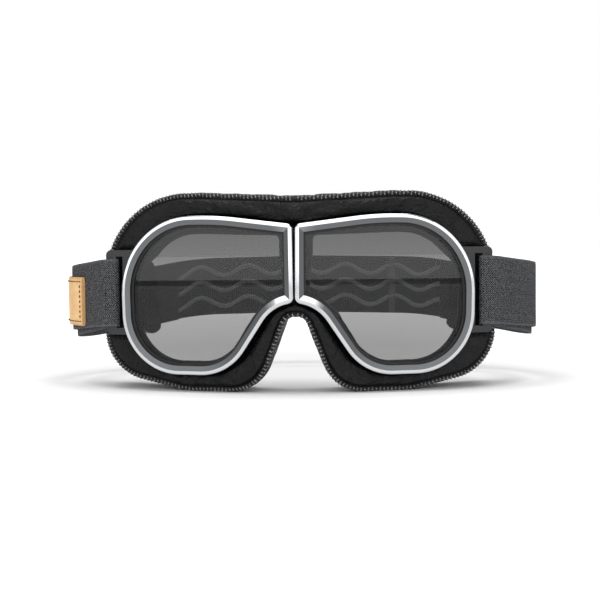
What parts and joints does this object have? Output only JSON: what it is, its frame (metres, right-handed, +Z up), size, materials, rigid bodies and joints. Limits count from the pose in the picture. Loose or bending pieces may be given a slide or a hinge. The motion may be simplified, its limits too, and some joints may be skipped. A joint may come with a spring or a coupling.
{
  "type": "motorcycle goggles",
  "caption": "Split-lens goggles: two smoke lenses in chrome rims hinged at the bridge, a padded leather face frame and an adjustable elastic head strap.",
  "frame": {"origin": "bottom centre of the bounding box, on the surface the goggles stand on", "axes": "+X to the right as seen from the front, the lenses face -Y, +Z up"},
  "size_m": [0.2435, 0.1513, 0.0954],
  "materials": {
    "chrome": "polished",
    "gasket_rubber": "matte",
    "smoke_lens": "gloss",
    "bracket_metal": "satin",
    "rivet_metal": "satin",
    "face_lining": "matte",
    "foam": "matte",
    "leather": "satin",
    "elastic": "matte",
    "frame_plastic": "matte",
    "slider_plastic": "satin",
    "silicone": "satin",
    "label_leather": "matte"
  },
  "bodies": {
    "left_half": {"chrome_bezel_left": "chrome", "lens_gasket_left": "gasket_rubber", "lens_left": "smoke_lens", "strap_bracket_left": "bracket_metal", "bracket_rivets_left": "rivet_metal", "face_lining_left": "face_lining", "foam_core_left": "foam", "leather_cover_left": "leather", "elastic_strap_left": "elastic", "eyecup_frame_left": "frame_plastic", "hinge_pin": "rivet_metal", "bridge_pad": "leather", "elastic_strap_back": "elastic", "silicone_grips": "silicone", "strap_label": "label_leather"},
    "right_half": {"chrome_bezel_right": "chrome", "lens_gasket_right": "gasket_rubber", "lens_right": "smoke_lens", "strap_bracket_right": "bracket_metal", "bracket_rivets_right": "rivet_metal", "face_lining_right": "face_lining", "foam_core_right": "foam", "leather_cover_right": "leather", "elastic_strap_right": "elastic", "eyecup_frame_right": "frame_plastic"},
    "slider_left": {"strap_slider_left": "slider_plastic"},
    "slider_right": {"strap_slider_right": "slider_plastic"}
  },
  "joints": [
    {"name": "bridge_fold", "type": "hinge", "parent": "left_half", "child": "right_half", "pos_m": [0, -0.0668, 0.064], "axis": [0, 0, 1], "range_deg": [0, 40], "deforming": ["bridge_pad", "elastic_strap_back", "silicone_grips"]},
    {"name": "slider_left_slide", "type": "slide", "parent": "left_half", "child": "slider_left", "axis": [-0.7189, -0.6847, -0.1197], "range_m": [-0.01, 0.01]},
    {"name": "slider_right_slide", "type": "slide", "parent": "right_half", "child": "slider_right", "axis": [-0.7178, 0.6836, 0.1317], "range_m": [-0.017, 0.003]}
  ]
}
